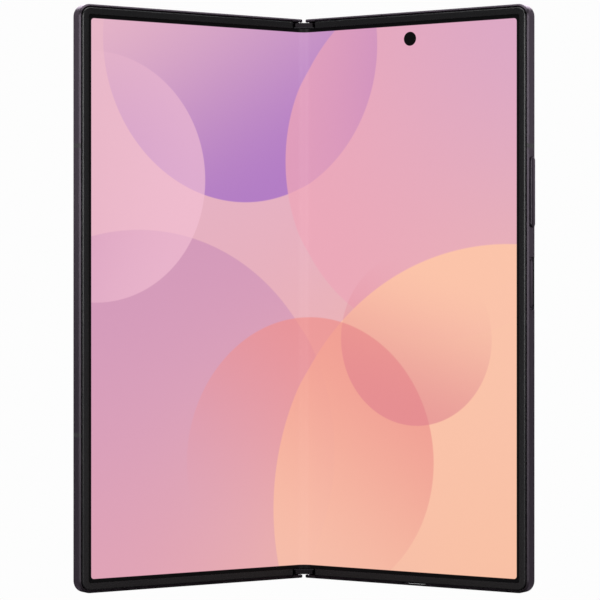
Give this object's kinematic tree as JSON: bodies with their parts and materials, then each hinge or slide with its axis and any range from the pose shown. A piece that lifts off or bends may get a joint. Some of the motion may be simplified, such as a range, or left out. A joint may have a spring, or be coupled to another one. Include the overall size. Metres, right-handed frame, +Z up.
{
  "type": "foldable smartphone",
  "caption": "Book-style folding phone standing half open: two thin metal halves on a geared twin-axis hinge with one flexible inner screen, side keys and a rear camera island.",
  "frame": {"origin": "centre of the standing phone's box on the surface under its bottom edges", "axes": "+X to the right as the screen is viewed, +Y away from the viewer, +Z up along the fold"},
  "size_m": [0.1244, 0.0416, 0.1584],
  "materials": {
    "anodised_metal": "bead-blasted and anodised dark grey",
    "band_plastic": "moulded, matt",
    "trim_polymer": "moulded, satin",
    "screen": "lit display under a clear film",
    "support_steel": "rolled and stamped",
    "spring_bronze": "spring strip",
    "flex_film": "amber film over copper tracks",
    "back_glass": "satin etched",
    "lens_glass": "coated",
    "panel": "dark display laminate",
    "camera_body": "moulded",
    "pouch": "laminated foil pouch",
    "circuit_board": "solder-masked laminate",
    "speaker_housing": "moulded",
    "lamp": "phosphor under a clear lens",
    "copper": "wound copper on a film"
  },
  "bodies": {
    "spine": {"spine_cover": "anodised_metal", "end_block_top": "anodised_metal", "end_block_bottom": "anodised_metal", "gear_plates": "support_steel", "guide_block_upper": "support_steel", "guide_block_lower": "support_steel", "friction_springs": "spring_bronze", "spine_screws": "support_steel", "display_fold": "screen", "flex_cables": "flex_film"},
    "left_half": {"left_frame": "anodised_metal", "left_antenna_bands": "band_plastic", "left_trim": "trim_polymer", "left_display": "screen", "left_support_plate": "support_steel", "left_hinge_pins": "support_steel", "left_gears": "support_steel", "left_rotators": "support_steel", "left_rotator_screws": "support_steel", "cover_glass": "back_glass", "cover_panel": "panel", "cover_camera": "camera_body", "left_battery": "pouch", "left_board": "circuit_board", "top_speaker": "speaker_housing", "sim_reader": "support_steel", "left_magnets": "support_steel"},
    "right_half": {"right_frame": "anodised_metal", "right_antenna_bands": "band_plastic", "right_trim": "trim_polymer", "right_display": "screen", "right_support_plate": "support_steel", "right_hinge_pins": "support_steel", "right_gears": "support_steel", "right_rotators": "support_steel", "right_rotator_screws": "support_steel", "inner_camera": "camera_body", "inner_camera_lens": "lens_glass", "rear_glass": "back_glass", "camera_island": "anodised_metal", "lens_rings": "anodised_metal", "lens_glasses": "lens_glass", "flash_led": "lamp", "rear_cameras": "camera_body", "right_battery": "pouch", "main_board": "circuit_board", "board_shield": "support_steel", "charging_coil": "copper", "usb_port": "support_steel", "bottom_speaker": "speaker_housing", "vibration_motor": "support_steel", "key_switches": "support_steel", "right_magnets": "support_steel"},
    "idler_top_left": {"idler_top_left": "support_steel"},
    "idler_top_right": {"idler_top_right": "support_steel"},
    "idler_bottom_left": {"idler_bottom_left": "support_steel"},
    "idler_bottom_right": {"idler_bottom_right": "support_steel"},
    "volume_key": {"volume_key": "anodised_metal"},
    "power_key": {"power_key": "anodised_metal"},
    "sim_tray": {"sim_tray": "anodised_metal"}
  },
  "joints": [
    {"name": "fold_left", "type": "hinge", "parent": "spine", "child": "left_half", "pos_m": [-0.00135, 0.01748, 0.0792], "axis": [0, 0, 1], "range_deg": [-32.4, 57.6], "deforming": ["display_fold", "flex_cables"]},
    {"name": "fold_right", "type": "hinge", "parent": "spine", "child": "right_half", "pos_m": [0.00135, 0.01748, 0.0792], "axis": [0, 0, 1], "range_deg": [-57.6, 32.4]},
    {"name": "idler_top_left_turn", "type": "hinge", "parent": "spine", "child": "idler_top_left", "pos_m": [-0.00065, 0.01858, 0.1567], "axis": [0, 0, 1], "range_deg": [-57.6, 32.4]},
    {"name": "idler_top_right_turn", "type": "hinge", "parent": "spine", "child": "idler_top_right", "pos_m": [0.00065, 0.01858, 0.1567], "axis": [0, 0, 1], "range_deg": [-32.4, 57.6]},
    {"name": "idler_bottom_left_turn", "type": "hinge", "parent": "spine", "child": "idler_bottom_left", "pos_m": [-0.00065, 0.01858, 0.0017], "axis": [0, 0, 1], "range_deg": [-57.6, 32.4]},
    {"name": "idler_bottom_right_turn", "type": "hinge", "parent": "spine", "child": "idler_bottom_right", "pos_m": [0.00065, 0.01858, 0.0017], "axis": [0, 0, 1], "range_deg": [-32.4, 57.6]},
    {"name": "volume_rock", "type": "hinge", "parent": "right_half", "child": "volume_key", "pos_m": [0.05933, -0.01787, 0.1078], "axis": [0.5358, 0.8443, 0], "range_deg": [-1.6, 1.6], "stiffness_Nm_per_rad": 0.4},
    {"name": "power_press", "type": "slide", "parent": "right_half", "child": "power_key", "axis": [-0.8443, 0.5358, 0], "range_m": [0, 0.0002], "stiffness_N_per_m": 2000},
    {"name": "sim_tray_slide", "type": "slide", "parent": "left_half", "child": "sim_tray", "axis": [0, 0, 1], "range_m": [0, 0.018]}
  ],
  "couplings": [
    {"joint": "fold_right", "follows": "fold_left", "ratio": -1},
    {"joint": "idler_top_left_turn", "follows": "fold_left", "ratio": -1},
    {"joint": "idler_top_right_turn", "follows": "fold_left", "ratio": 1},
    {"joint": "idler_bottom_left_turn", "follows": "fold_left", "ratio": -1},
    {"joint": "idler_bottom_right_turn", "follows": "fold_left", "ratio": 1}
  ]
}
